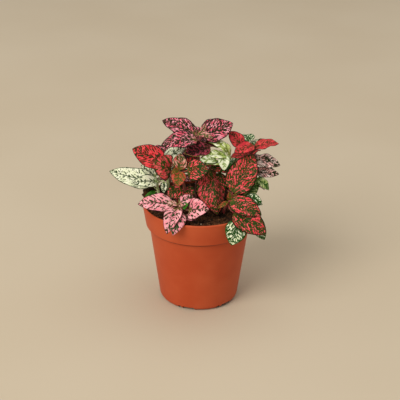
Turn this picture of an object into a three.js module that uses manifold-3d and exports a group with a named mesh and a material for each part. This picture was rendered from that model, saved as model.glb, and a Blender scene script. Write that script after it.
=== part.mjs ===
// Potted polka dot plant: several spotted leafy stems in peat, in a plain plastic nursery pot.
// Millimetres, +Z up. The pot stands on the plane z = 0 and is centred on the Z axis. The side of the plant
// that is seen first faces -Y.

import * as THREE from "three";
import { mergeVertices } from "three/addons/utils/BufferGeometryUtils.js";
import Module from "manifold-3d";

const wasm = await Module();
wasm.setup();
const { Manifold, Mesh } = wasm;

// Pot: radii and heights of the outside, and the wall.
const POT_HEIGHT = 98;
const RIM_RADIUS = 54;
const BAND_LOW_RADIUS = 50.6;
const BAND_LOW_HEIGHT = 76;
const NECK_RADIUS = 47.5;
const FOOT_RADIUS = 37.4;
const FOOT_ROUNDING = 3;
const WALL = 1.5;
const FLOOR = 2.4;
const POT_SIDES = 40;
// Underside: a shallow ring groove between a centre boss and the foot.
const GROOVE_INNER = 12;
const GROOVE_OUTER = 29;
const GROOVE_DEPTH = 0.9;
// Drainage slots through the corner of the foot: wide ones, and a narrow one beside each of them.
const SLOT_COUNT = 6;
const SLOT_HEIGHT = 3.2;
const SLOT_WIDTH = 11;
const SLOT_NARROW = 3;
const SLOT_OFFSET = -14;
const SLOT_START = -105;

// Soil: its gap to the pot, the height of its edge, and the roughness of its top.
const GAP = 0.3;
const SOIL_EDGE = 93.5;
const SOIL_MOUND = 4.5;
const SOIL_ROUGHNESS = 1.6;
const SOIL_SIDES = 32;
const SOIL_RINGS = [1, 0.84, 0.66, 0.44, 0.2];
const HOLE_DEPTH = 12;
const CLUMP = { centre: [-45.5, 13, 99.5], radii: [9.5, 12, 6.5] };

// Stems and leaf stalks.
const STEM_RADIUS = 1.7;
const STEM_TAPER = 0.62;
const STEM_SIDES = 6;
const STALK_RADIUS = 0.75;
const ROOT_LEVEL = 96;
const SMALLEST_EDGE = 0.04;

// Leaf blades: thickness, outline exponents towards the base and the tip, and the wave along the edge.
const BLADE = 0.7;
const BASE_FULLNESS = 0.5;
const TIP_FULLNESS = 0.82;
const EDGE_WAVE = 0.045;
const EDGE_WAVES = 2;
const ROWS_LARGE = [0.05, 0.2, 0.42, 0.65, 0.86];
const ROWS_SMALL = [0.08, 0.32, 0.62, 0.86];
const ACROSS = [-1, -0.5, 0, 0.5, 1];
const ACROSS_SLENDER = [-1, 0, 1];
const LARGE_LENGTH = 27;
const SLENDER_WIDTH = 13;

// Each stem lists where it stands in the soil, where its top is, and its leaves. A leaf is [place, base, tip,
// width, face, arch, fold]. The place is how far up the stem its stalk starts. The blade runs from the base
// to the tip. The face is the way its upper side looks, the arch is how far the middle of its midrib stands
// off the straight line, as a share of its length, and the fold is in degrees, positive where the edges rise.
const UP = [0, -0.15, 1];
const UP_FRONT = [0, -0.5, 0.85];
const FRONT_UP = [0, -0.7, 0.7];
const FRONT = [0, -0.88, 0.45];

const STEMS = {
  stem_top_magenta: {
    colour: 0x9b3350,
    root: [-3, 8],
    top: [0, -2, 164],
    leaves: [
      [0.98, [-4, 0, 163.5], [-35, 12, 174], 21, UP_FRONT, 0.06, 12],
      [0.98, [3, -1, 163.5], [30, 8, 173.5], 24, [0.1, -0.6, 0.8], 0.02, 8],
      [0.95, [-3, -6, 162], [-35.5, -14, 158.5], 20, [-0.1, -0.5, 0.85], 0.12, 8],
      [0.95, [4, 4, 161], [29, 30, 158], 19, UP, 0.1, 10],
      [0.98, [-3, -4, 167], [12, -13, 166], 8, UP_FRONT, 0.12, 14],
      [0.99, [1, -1, 166], [5, 3, 175], 6, FRONT, 0.05, 20],
      [0.99, [-1, -2, 166], [-6, -7, 172], 5, FRONT_UP, 0.05, 20],
      [0.96, [4, 4, 163], [13, 30, 169.5], 12, UP, 0.1, 10],
      [0.94, [-3, 5, 161], [-19, 31, 159], 18, UP, 0.1, 10],
      [0.85, [9, -3, 154], [-14, -16, 152.5], 18, [0, -0.6, 0.8], -0.05, 20],
      [0.55, [-6, 8, 138], [-22, 26, 140], 17, UP, 0.1, 8],
      [0.74, [2, 10, 149], [4, 34, 150], 17, UP, 0.1, 8],
      [0.74, [-6, 8, 149], [-25, 22, 150], 16, UP, 0.1, 8],
      [0.85, [5, 4, 154.5], [24, 6, 151.5], 14, [0.1, -0.3, 0.95], 0.08, 8],
    ],
  },
  stem_left_red: {
    colour: 0xb8323c,
    root: [-20, -10],
    top: [-31, -13, 146],
    leaves: [
      [0.96, [-33, -13, 142.5], [-61.5, -10, 154.5], 22, [-0.1, -0.75, 0.65], 0.01, 8],
      [0.9, [-26.5, -18, 137.5], [-42.5, -31, 149], 24, [0.1, -0.85, 0.5], 0.14, 8],
      [0.97, [-35, -9, 142], [-51, 13, 139], 16, UP, 0.1, 8],
    ],
  },
  stem_left_white: {
    colour: 0xdfe3c8,
    root: [-37, -12],
    top: [-40, -5, 121],
    leaves: [
      [0.95, [-42, -6, 118.5], [-84.5, 4, 126], 21, [-0.1, -0.6, 0.8], 0, 8],
      [0.95, [-39, -12, 123], [-61, -18, 124], 13, FRONT_UP, 0.1, 10],
      [0.98, [-41, -2, 123], [-55, 6, 131.5], 10, FRONT_UP, 0.08, 10],
      [0.95, [-38, 4, 122], [-46, 24, 124], 14, UP, 0.1, 8],
      [0.9, [-33, -8, 121], [-33, -14, 112], 7, FRONT, 0.05, 10],
      [0.6, [-41, -6, 110], [-51, -8, 105.5], 5, FRONT_UP, 0.05, 10],
      [0.7, [-43, 1, 112], [-51, 20, 111], 13, [-0.3, 0.2, 1], 0.1, 8],
    ],
  },
  stem_inner_white: {
    colour: 0xdfe3c8,
    root: [-28, 0],
    top: [-33, 0, 137],
    leaves: [
      [0.98, [-33, 0, 138], [-12, 6, 153], 14, [-0.2, -0.75, 0.6], 0.08, 8],
      [0.9, [-30, 0, 132], [-22, -2, 139], 7, FRONT, 0.05, 8],
      [0.8, [-36, 4, 128], [-52, 18, 125], 15, [-0.2, 0.2, 1], 0.1, 8],
      [0.68, [-27, 8, 122], [-9, 15, 122.5], 13, UP, 0.06, 8],
    ],
  },
  stem_centre_red: {
    colour: 0xb0353a,
    root: [-11, -17],
    top: [-18, -20, 136],
    leaves: [
      [0.99, [-18.5, -21, 139], [-17.5, -13, 151.5], 14, FRONT, 0.08, 10],
      [0.97, [-13, -16, 139], [-3, -8, 146], 11, FRONT_UP, 0.08, 10],
      [0.99, [-18.5, -22, 137], [-19.5, -33, 127.5], 14, [0, -0.8, 0.6], 0.1, 8],
      [0.97, [-11, -22, 138.5], [8, -30, 143], 21, [0, -0.85, 0.5], 0.1, 8],
      [0.97, [-19, -21, 137.5], [-26, -25, 137], 7, FRONT_UP, 0.08, 10],
      [0.55, [-16, -18, 118], [-30, -26, 114], 16, [-0.2, -0.8, 0.6], 0.1, 8],
      [0.55, [-14, -16, 117], [-4, -22, 115.5], 12, FRONT_UP, 0.1, 8],
    ],
  },
  stem_front_pink: {
    colour: 0xd8808f,
    root: [-16, -32],
    top: [-18, -34, 109],
    leaves: [
      [0.98, [-24, -34, 110.5], [-55.5, -37, 111.5], 19, [-0.1, -0.6, 0.8], 0.08, 8],
      [0.95, [-20, -36, 107], [-28.8, -58, 92.3], 17, [-0.2, -0.85, 0.5], 0.15, 22],
      [0.9, [-17, -40, 105.5], [-23.5, -60, 92], 14, [0.1, -0.85, 0.5], 0.16, 4],
      [0.98, [-18.5, -35, 112], [-5.7, -30, 117], 10, FRONT_UP, 0.08, 10],
      [0.95, [-9, -38, 106.5], [8.5, -50, 113.5], 21, [0, -0.8, 0.6], 0.08, 20],
      [0.98, [-20, -35, 110.5], [-29, -37, 113], 6, UP_FRONT, 0.08, 14],
      [0.98, [-18, -35, 110], [-13, -38, 111], 5, UP_FRONT, 0.08, 14],
      [0.95, [-15, -36, 108], [-10, -38, 113], 6, FRONT_UP, 0.08, 14],
      [0.5, [-13, -38, 100], [-3, -44, 99.5], 7, FRONT_UP, 0.08, 10],
    ],
  },
  stem_middle_red: {
    colour: 0xa53238,
    root: [6, -6],
    top: [10, -6, 138],
    leaves: [
      [0.99, [10, -12, 136], [16.5, -34, 100], 37, [0.3, -0.8, 0.5], 0.08, -38],
      [0.9, [9, 0, 132], [18, 22, 130], 17, UP, 0.1, 8],
      [0.5, [8, -10, 117], [-2, -14, 108], 12, FRONT_UP, 0.1, 8],
      [0.8, [17, -9, 131], [20, -15, 110], 14, [0.2, -0.8, 0.5], 0.1, 8],
      [0.95, [9, -10, 136.5], [25, -15, 133.5], 12, [0, -0.35, 0.95], 0.12, 10],
    ],
  },
  stem_right_red: {
    colour: 0xb23138,
    root: [22, -22],
    top: [29, -28, 111],
    leaves: [
      [0.98, [30, -24, 118.5], [49.5, -6, 148.5], 28, FRONT, 0.06, 6],
      [0.95, [28, -34, 114], [55.8, -45, 105.5], 20, [0.1, -0.7, 0.7], 0.1, 8],
      [0.8, [31.4, -40.3, 105.6], [59.5, -52.3, 90], 24, [0.1, -0.75, 0.65], 0.12, 8],
      [0.99, [27, -29, 112], [27, -30, 122], 5, FRONT, 0.05, 14],
      [0.99, [26, -29, 111], [16.4, -34, 106.5], 5, FRONT_UP, 0.08, 14],
      [0.99, [29, -29, 111], [34, -24, 118], 5, FRONT_UP, 0.05, 14],
      [0.9, [30.5, -14, 113], [27, 5, 126], 11, [-0.3, -0.8, 0.5], 0.08, 8],
    ],
  },
  stem_right_green_white: {
    colour: 0x7d9a72,
    root: [33, -12],
    top: [44, -16, 112],
    leaves: [
      [0.5, [35.5, -45.5, 99.5], [29, -58.5, 82], 20, [0, -0.9, 0.4], 0.08, 4],
      [0.6, [46, -36, 100], [59.5, -44, 80.5], 15, [0.2, -0.8, 0.5], 0.12, 8],
      [0.95, [42.7, -24, 113], [57, -26, 110], 11, FRONT_UP, 0.1, 8],
      [0.97, [41, -18, 112], [55, -10, 123.3], 12, [0.3, -0.8, 0.5], 0.08, 8],
      [0.98, [52, -8, 125], [64, -12, 115.5], 10, [0.3, -0.6, 0.7], 0.15, 8],
      [0.6, [45, -12, 104], [59, -6, 98], 14, [0.4, -0.2, 0.9], 0.12, 8],
    ],
  },
  stem_right_pale_pink: {
    colour: 0xc99aa0,
    root: [36, 4],
    top: [50, 7, 137],
    leaves: [
      [0.98, [52, 8, 137], [75, 6, 132.6], 15, [0, -0.6, 0.8], 0.1, 8],
      [0.9, [53, 2, 126.5], [74, 2, 125.5], 12, [0, -0.6, 0.8], 0.1, 8],
      [0.97, [51, 12, 136], [62, 32, 130], 14, UP, 0.1, 8],
      [0.7, [47, 10, 122], [66, 22, 120], 15, UP, 0.1, 8],
      [0.4, [44, 8, 110], [62, 16, 103], 16, [0.4, 0.2, 0.9], 0.12, 8],
    ],
  },
  stem_upper_red: {
    colour: 0xb83040,
    root: [26, 8],
    top: [52, 1, 152],
    leaves: [
      [0.98, [50, 0, 152.5], [72.5, 2, 156], 18, UP, 0.1, 6],
      [0.96, [39, 4, 152.4], [26.5, 10, 164.5], 14, FRONT_UP, 0.08, 8],
      [0.98, [49, -3, 156], [31, -14, 152.5], 15, [0, -0.4, 0.9], 0.06, 8],
      [0.94, [44, -1, 145], [28, -7, 145.5], 13, UP, 0.06, 8],
      [0.8, [44, 12, 140], [57, 26, 140], 14, [0.1, 0.2, 1], 0.1, 8],
    ],
  },
  stem_centre_green: {
    colour: 0xa9bf74,
    root: [14, 4],
    top: [25, -4, 145],
    leaves: [
      [0.98, [27, -6, 143.5], [8, -3, 158.7], 13, [0.6, -0.45, 0.7], 0.3, 8],
      [0.96, [27.5, -9.5, 146.5], [3, -12, 148.5], 15, [0, -0.15, 1], 0.1, 8],
      [0.9, [15, -14, 145.5], [-1, -20, 147.5], 9, FRONT_UP, 0.1, 20],
      [0.86, [21.5, -12, 149.5], [22, -22, 139], 11, FRONT, 0.1, 8],
      [0.76, [22, -12, 141], [3, -19, 142.5], 9, UP, 0.1, 8],
      [0.45, [16, 7, 115], [11, 21, 113], 13, UP, 0.1, 8],
      [0.72, [24.5, -1, 132.5], [35, 1, 131.5], 12, UP, 0.08, 8],
    ],
  },
  stem_back_left_pink: {
    colour: 0xd08a96,
    root: [-20, 20],
    top: [-30, 24, 132],
    leaves: [
      [0.98, [-32, 26, 133], [-48, 38, 137], 15, UP, 0.1, 8],
      [0.96, [-29, 28, 132], [-22, 53, 130], 18, UP, 0.1, 8],
      [0.99, [-29, 23, 133], [-24, 16, 142], 8, UP, 0.08, 12],
      [0.75, [-33, 25, 118], [-61, 28, 112], 19, [-0.2, 0.1, 1], 0.1, 8],
      [0.75, [-30, 29, 120], [-44, 50, 114], 18, [-0.2, 0.4, 0.9], 0.12, 8],
      [0.4, [-25, 27, 106], [-32, 52, 98.5], 17, [0, 0.4, 0.9], 0.14, 8],
      [0.6, [-24, 18, 113], [-6, 14, 112], 14, UP, 0.1, 8],
      [0.4, [-28, 20, 108], [-50, 30, 104], 14, [-0.3, 0.3, 0.9], 0.12, 8],
    ],
  },
  stem_back_red: {
    colour: 0xa8323a,
    root: [0, 28],
    top: [-2, 35, 137],
    leaves: [
      [0.98, [-1, 38, 138], [3, 63, 134], 19, UP, 0.1, 8],
      [0.98, [-5, 36, 138], [-24, 35, 141], 16, UP, 0.1, 8],
      [0.98, [2, 34, 138.5], [14, 30, 144], 12, UP, 0.1, 8],
      [0.78, [-5, 37, 124], [-22, 55, 119], 18, [-0.1, 0.3, 1], 0.12, 8],
      [0.74, [3, 37, 124], [23, 54, 119], 18, [0.1, 0.3, 1], 0.12, 8],
      [0.45, [1, 38, 110], [4, 64, 98], 18, [0, 0.4, 0.9], 0.16, 6],
      [0.4, [-5, 31, 108], [-18, 38, 105], 13, [-0.2, 0.3, 1], 0.1, 8],
      [0.4, [4, 30, 107], [17, 35, 105], 13, [0.2, 0.3, 1], 0.1, 8],
    ],
  },
  stem_back_right_white: {
    colour: 0xcfd6bb,
    root: [23, 19],
    top: [45, 20.5, 150],
    leaves: [
      [0.98, [45, 21, 150.5], [44, 40, 150], 15, UP, 0.1, 8],
      [0.94, [48, 20, 146], [64, 30, 145], 13, UP, 0.1, 8],
      [0.6, [42, 24, 127], [60, 40, 122], 17, UP, 0.1, 8],
      [0.5, [34, 26, 125], [24, 49, 121], 17, UP, 0.1, 8],
      [0.3, [33, 24, 112], [56, 38, 103], 18, UP, 0.14, 8],
      [0.36, [26, 28, 115], [33, 52, 106], 16, [0, 0.3, 1], 0.12, 8],
    ],
  },
};

function vec(p) {
  return new THREE.Vector3(p[0], p[1], p[2]);
}

function solid(positions, triangles) {
  const mesh = new Mesh({
    numProp: 3,
    vertProperties: new Float32Array(positions),
    triVerts: new Uint32Array(triangles),
  });
  return new Manifold(mesh);
}

function solidOf(geometry) {
  const plain = geometry.clone();
  plain.deleteAttribute("normal");
  plain.deleteAttribute("uv");
  const joined = mergeVertices(plain, 1e-4);
  return solid(joined.attributes.position.array, joined.index.array);
}

function meshOf(name, body, colour, roughness) {
  const data = body.getMesh();
  const geometry = new THREE.BufferGeometry();
  geometry.setAttribute("position", new THREE.BufferAttribute(new Float32Array(data.vertProperties), 3));
  geometry.setIndex(new THREE.BufferAttribute(new Uint32Array(data.triVerts), 1));
  geometry.computeVertexNormals();
  const mesh = new THREE.Mesh(geometry, new THREE.MeshStandardMaterial({ color: colour, roughness }));
  mesh.name = name;
  return mesh;
}

// A repeatable value from 0 to 1 for each number given.
function chance(n) {
  const x = Math.sin(n * 12.9898 + 4.1414) * 43758.5453;
  return x - Math.floor(x);
}

// A closed solid between the rings of points, each ring with the same number of points, with flat ends.
function loft(rings) {
  const count = rings[0].length;
  const positions = [];
  const triangles = [];
  for (const ring of rings) {
    for (const p of ring) positions.push(p.x, p.y, p.z);
  }
  for (let i = 0; i + 1 < rings.length; i++) {
    for (let j = 0; j < count; j++) {
      const a = i * count + j;
      const b = i * count + ((j + 1) % count);
      triangles.push(a, b, b + count, a, b + count, a + count);
    }
  }
  const last = (rings.length - 1) * count;
  for (let j = 1; j + 1 < count; j++) {
    triangles.push(0, j + 1, j);
    triangles.push(last, last + j, last + j + 1);
  }
  return solid(positions, triangles);
}

function ringAt(centre, along, radius, sides) {
  const u = new THREE.Vector3(1, 0, 0).cross(along).normalize();
  const v = along.clone().cross(u).normalize();
  const ring = [];
  for (let j = 0; j < sides; j++) {
    const angle = (2 * Math.PI * j) / sides;
    const offset = u.clone().multiplyScalar(Math.cos(angle)).addScaledVector(v, Math.sin(angle));
    ring.push(centre.clone().addScaledVector(offset, radius));
  }
  return ring;
}

function bezier(a, b, c, t) {
  const s = 1 - t;
  return a.clone().multiplyScalar(s * s).addScaledVector(b, 2 * s * t).addScaledVector(c, t * t);
}

function bezierSlope(a, b, c, t) {
  return b.clone().sub(a).multiplyScalar(1 - t).addScaledVector(c.clone().sub(b), t).normalize();
}

// The centre line of a stem: it leaves the soil upright and bends over to its top.
function stemCurve(stem) {
  const foot = new THREE.Vector3(stem.root[0], stem.root[1], ROOT_LEVEL);
  const top = vec(stem.top);
  const bend = foot.clone().lerp(top, 0.15);
  bend.z = foot.z + (top.z - foot.z) * 0.55;
  return [foot, bend, top];
}

function stemTube(stem) {
  const curve = stemCurve(stem);
  const bottom = curve[0].clone();
  bottom.z = ROOT_LEVEL - HOLE_DEPTH;
  const up = new THREE.Vector3(0, 0, 1);
  const rings = [ringAt(bottom, up, STEM_RADIUS, STEM_SIDES)];
  for (const t of [0, 0.3, 0.65, 1]) {
    const radius = STEM_RADIUS * (1 - (1 - STEM_TAPER) * t);
    rings.push(ringAt(bezier(...curve, t), t === 0 ? up : bezierSlope(...curve, t), radius, STEM_SIDES));
  }
  return loft(rings);
}

function leafFrame(leaf) {
  const [, base, tip, width, face, arch, fold] = leaf;
  const a = vec(base);
  const c = vec(tip);
  const chord = c.clone().sub(a);
  const length = chord.length();
  chord.normalize();
  const normal = vec(face);
  normal.addScaledVector(chord, -normal.dot(chord)).normalize();
  const side = chord.clone().cross(normal);
  const b = a.clone().add(c).multiplyScalar(0.5).addScaledVector(normal, 2 * arch * length);
  return { curve: [a, b, c], side, width, length, fold: (fold * Math.PI) / 180 };
}

// Half the blade's width at a share t of its length, as a share of the widest.
function outline(t) {
  const widest = BASE_FULLNESS / (BASE_FULLNESS + TIP_FULLNESS);
  const peak = widest ** BASE_FULLNESS * (1 - widest) ** TIP_FULLNESS;
  return (t ** BASE_FULLNESS * (1 - t) ** TIP_FULLNESS) / peak;
}

function bladePoint(frame, phase, t, s) {
  const { curve, side, width, fold } = frame;
  const along = bezierSlope(...curve, t);
  const normal = side.clone().cross(along);
  const half = (width / 2) * outline(t);
  const turn = EDGE_WAVES * t + phase + (s > 0 ? 0.37 : 0);
  const wave = EDGE_WAVE * half * 2 * s * s * Math.sin(2 * Math.PI * turn);
  const point = bezier(...curve, t).addScaledVector(side, s * half * Math.cos(fold));
  point.addScaledVector(normal, Math.abs(s) * half * Math.sin(fold) + wave);
  return { point, normal };
}

// One closed solid for a leaf: a stalk of four-cornered rings from the stem's middle to the foot of the
// blade, then rows of points across the blade, the same on its upper and its lower face, up to the tip.
function leafSolid(stem, leaf, seed) {
  const frame = leafFrame(leaf);
  const phase = chance(seed);
  const large = frame.length > LARGE_LENGTH;
  const rows = large ? ROWS_LARGE : ROWS_SMALL;
  const across = frame.width > SLENDER_WIDTH ? ACROSS : ACROSS_SLENDER;
  const positions = [];
  const triangles = [];
  const add = (p) => positions.push(p.x, p.y, p.z) / 3 - 1;

  const start = bezier(...stemCurve(stem), leaf[0]);
  const end = bezier(...frame.curve, 0);
  const slope = bezierSlope(...frame.curve, 0);
  const bend = end.clone().addScaledVector(slope, -0.45 * start.distanceTo(end));
  const rings = [];
  for (const t of [0, 0.5, 1]) {
    const centre = bezier(start, bend, end, t);
    const along = bezierSlope(start, bend, end, t);
    const normal = frame.side.clone().cross(along).normalize();
    const side = along.clone().cross(normal);
    const radius = STALK_RADIUS * (1.15 - 0.3 * t);
    const corners = [[side, -radius], [normal, radius], [side, radius], [normal, -radius]];
    rings.push(corners.map(([way, reach]) => add(centre.clone().addScaledVector(way, reach))));
  }
  triangles.push(rings[0][0], rings[0][2], rings[0][1], rings[0][0], rings[0][3], rings[0][2]);
  for (let i = 0; i + 1 < rings.length; i++) {
    for (let j = 0; j < 4; j++) {
      const [a, b] = [rings[i][j], rings[i][(j + 1) % 4]];
      const [c, d] = [rings[i + 1][(j + 1) % 4], rings[i + 1][j]];
      triangles.push(a, b, c, a, c, d);
    }
  }

  const upper = [];
  const lower = [];
  for (const t of rows) {
    for (const [face, lift] of [[upper, BLADE / 2], [lower, -BLADE / 2]]) {
      face.push(across.map((s) => {
        const { point, normal } = bladePoint(frame, phase, t, s);
        return add(point.addScaledVector(normal, lift));
      }));
    }
  }
  const last = across.length - 1;
  const [left, top, right, bottom] = rings[2];
  for (let j = 0; j < last; j++) {
    triangles.push(top, upper[0][j + 1], upper[0][j], bottom, lower[0][j], lower[0][j + 1]);
  }
  triangles.push(left, top, upper[0][0], left, upper[0][0], lower[0][0], left, lower[0][0], bottom);
  triangles.push(right, upper[0][last], top, right, lower[0][last], upper[0][last]);
  triangles.push(right, bottom, lower[0][last]);
  for (let i = 0; i + 1 < rows.length; i++) {
    for (let j = 0; j < last; j++) {
      const [a, b, c, d] = [upper[i][j], upper[i][j + 1], upper[i + 1][j + 1], upper[i + 1][j]];
      triangles.push(a, b, c, a, c, d);
      const [e, f, g, h] = [lower[i][j], lower[i][j + 1], lower[i + 1][j + 1], lower[i + 1][j]];
      triangles.push(e, g, f, e, h, g);
    }
    const [a, b, c, d] = [upper[i][0], upper[i + 1][0], lower[i + 1][0], lower[i][0]];
    triangles.push(a, b, c, a, c, d);
    const [e, f, g, h] = [upper[i][last], upper[i + 1][last], lower[i + 1][last], lower[i][last]];
    triangles.push(e, g, f, e, h, g);
  }
  const point = bladePoint(frame, phase, 1, 0);
  const tipUp = add(point.point.clone().addScaledVector(point.normal, BLADE / 2));
  const tipDown = add(point.point.addScaledVector(point.normal, -BLADE / 2));
  const over = upper[rows.length - 1];
  const under = lower[rows.length - 1];
  for (let j = 0; j < last; j++) triangles.push(over[j], over[j + 1], tipUp, under[j + 1], under[j], tipDown);
  triangles.push(over[0], tipUp, tipDown, over[0], tipDown, under[0]);
  triangles.push(over[last], tipDown, tipUp, over[last], under[last], tipDown);
  return solid(positions, triangles);
}

function stemSolid(stem, seed) {
  const leaves = stem.leaves.map((leaf, i) => leafSolid(stem, leaf, seed + 1 + i));
  // Where stalks meet, the slivers of closed space between them are filled.
  const whole = Manifold.union([stemTube(stem), ...leaves]);
  const bodies = whole.simplify(SMALLEST_EDGE).decompose();
  return bodies.reduce((a, b) => (b.volume() > a.volume() ? b : a));
}

function lathe(profile, sides) {
  const points = [...profile, profile[0]].map(([r, z]) => new THREE.Vector2(r, z));
  const geometry = new THREE.LatheGeometry(points, sides);
  geometry.rotateX(Math.PI / 2);
  return solidOf(geometry);
}

function potSolid() {
  const wallSlope = (NECK_RADIUS - FOOT_RADIUS) / BAND_LOW_HEIGHT;
  const footTop = FOOT_RADIUS + wallSlope * FOOT_ROUNDING;
  const inside = FOOT_RADIUS - WALL;
  const profile = [
    [0, 0],
    [GROOVE_INNER, 0],
    [GROOVE_INNER + GROOVE_DEPTH, GROOVE_DEPTH],
    [GROOVE_OUTER - GROOVE_DEPTH, GROOVE_DEPTH],
    [GROOVE_OUTER, 0],
    [FOOT_RADIUS - FOOT_ROUNDING, 0],
    [FOOT_RADIUS - FOOT_ROUNDING * 0.35, FOOT_ROUNDING * 0.3],
    [footTop, FOOT_ROUNDING],
    [NECK_RADIUS, BAND_LOW_HEIGHT - 0.4],
    [BAND_LOW_RADIUS - 0.7, BAND_LOW_HEIGHT],
    [BAND_LOW_RADIUS, BAND_LOW_HEIGHT + 0.8],
    [RIM_RADIUS - 0.2, POT_HEIGHT - 1],
    [RIM_RADIUS - 0.6, POT_HEIGHT],
    [RIM_RADIUS - 1.7, POT_HEIGHT],
    [RIM_RADIUS - 2, POT_HEIGHT - 0.8],
    [BAND_LOW_RADIUS - WALL, BAND_LOW_HEIGHT + 2.5],
    [NECK_RADIUS - WALL, BAND_LOW_HEIGHT - 1],
    [inside, FLOOR + 2],
    [inside - 1.5, FLOOR],
    [0, FLOOR],
  ];
  let pot = lathe(profile, POT_SIDES);
  for (let i = 0; i < SLOT_COUNT; i++) {
    const angle = SLOT_START + (360 / SLOT_COUNT) * i;
    for (const [turn, width] of [[0, SLOT_WIDTH], [SLOT_OFFSET, SLOT_NARROW]]) {
      const cutter = Manifold.cube([8, width, SLOT_HEIGHT + 1], true)
        .translate([FOOT_RADIUS - 1, 0, (SLOT_HEIGHT - 1) / 2])
        .rotate([0, 0, angle + turn]);
      pot = pot.subtract(cutter);
    }
  }
  return pot;
}

// Height of the soil's top at a share q of its radius and an angle, before the clump is added.
function soilHeight(q, angle) {
  const waves = [3 * angle + 9 * q, 5 * angle - 7 * q + 1, 8 * angle + 13 * q + 2];
  const bumps = waves.reduce((sum, wave) => sum + Math.sin(wave), 0);
  return SOIL_EDGE + SOIL_MOUND * (1 - q * q) + (SOIL_ROUGHNESS / 3) * bumps;
}

function soilSolid(roots) {
  const bottom = FLOOR + GAP;
  const inner = FOOT_RADIUS - WALL - GAP;
  const neck = NECK_RADIUS - WALL - GAP;
  const band = BAND_LOW_RADIUS - WALL - GAP;
  const bandSlope = (RIM_RADIUS - 2 - BAND_LOW_RADIUS + WALL) / (POT_HEIGHT - 0.8 - BAND_LOW_HEIGHT - 2.5);
  const edge = band + bandSlope * (SOIL_EDGE - SOIL_ROUGHNESS - BAND_LOW_HEIGHT - 2.5);
  const side = [
    [inner - 2, bottom],
    [inner - 0.1, bottom + 2.4],
    [neck, BAND_LOW_HEIGHT - 1],
    [band, BAND_LOW_HEIGHT + 2.8],
  ];
  const rings = side.map(([r, z]) => ({ r, height: () => z }));
  for (const q of SOIL_RINGS) rings.push({ r: edge * q, height: (angle) => soilHeight(q, angle) });
  const solidRings = rings.map(({ r, height }) => {
    const ring = [];
    for (let j = 0; j < SOIL_SIDES; j++) {
      const angle = (2 * Math.PI * j) / SOIL_SIDES;
      ring.push(new THREE.Vector3(r * Math.cos(angle), r * Math.sin(angle), height(angle)));
    }
    return ring;
  });
  let soil = loft(solidRings);
  const clump = new THREE.IcosahedronGeometry(1, 1);
  const corners = clump.attributes.position;
  for (let i = 0; i < corners.count; i++) {
    const p = new THREE.Vector3().fromBufferAttribute(corners, i);
    const corner = Math.round(40 * p.x) + 7 * Math.round(40 * p.y) + 13 * Math.round(40 * p.z);
    const rough = 0.86 + 0.28 * chance(corner);
    corners.setXYZ(i, p.x * rough, p.y * rough, p.z * rough);
  }
  clump.scale(...CLUMP.radii);
  clump.translate(...CLUMP.centre);
  const rimRoom = Manifold.cylinder(60, 80, 80, POT_SIDES)
    .subtract(Manifold.cylinder(60, RIM_RADIUS - 2 - 3 * GAP, RIM_RADIUS - 2 - 3 * GAP, POT_SIDES))
    .translate([0, 0, POT_HEIGHT + GAP - 60]);
  soil = soil.add(solidOf(clump).subtract(rimRoom));
  for (const [x, y] of roots) {
    const depth = HOLE_DEPTH + GAP;
    const hole = Manifold.cylinder(depth + 20, STEM_RADIUS + 2 * GAP, STEM_RADIUS + 2 * GAP, 8)
      .translate([x, y, ROOT_LEVEL - depth]);
    soil = soil.subtract(hole);
  }
  return soil;
}

const group = new THREE.Group();
group.name = "potted_polka_dot_plant";
const roots = Object.values(STEMS).map((stem) => stem.root);
group.add(meshOf("pot", potSolid(), 0xb4532f, 0.5));
group.add(meshOf("soil", soilSolid(roots), 0x2e2119, 0.95));
let seed = 0;
for (const [name, stem] of Object.entries(STEMS)) {
  group.add(meshOf(name, stemSolid(stem, seed), stem.colour, 0.55));
  seed += 100;
}

export default group;
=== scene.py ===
# Potted polka dot plant: spotted leafy stems in peat, in a plain plastic nursery pot.
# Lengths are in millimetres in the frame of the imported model, and MM turns them into metres.

import math
from collections import namedtuple

import bmesh
import bpy
import numpy as np
from mathutils import Euler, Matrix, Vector, noise


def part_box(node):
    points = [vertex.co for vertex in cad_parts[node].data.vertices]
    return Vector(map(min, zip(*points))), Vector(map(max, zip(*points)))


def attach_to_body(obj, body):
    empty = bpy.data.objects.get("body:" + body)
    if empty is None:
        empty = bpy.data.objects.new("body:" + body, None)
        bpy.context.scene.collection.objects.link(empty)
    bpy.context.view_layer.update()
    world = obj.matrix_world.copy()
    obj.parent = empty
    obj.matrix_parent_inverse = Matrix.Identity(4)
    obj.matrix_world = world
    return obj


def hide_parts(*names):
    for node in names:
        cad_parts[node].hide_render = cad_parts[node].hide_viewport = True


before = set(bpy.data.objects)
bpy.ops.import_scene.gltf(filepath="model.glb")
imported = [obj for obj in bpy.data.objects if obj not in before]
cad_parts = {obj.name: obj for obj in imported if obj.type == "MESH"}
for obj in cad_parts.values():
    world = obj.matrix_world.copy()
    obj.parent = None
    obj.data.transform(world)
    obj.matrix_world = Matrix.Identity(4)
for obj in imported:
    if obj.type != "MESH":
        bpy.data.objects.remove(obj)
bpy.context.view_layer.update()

MM = 0.001

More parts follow.
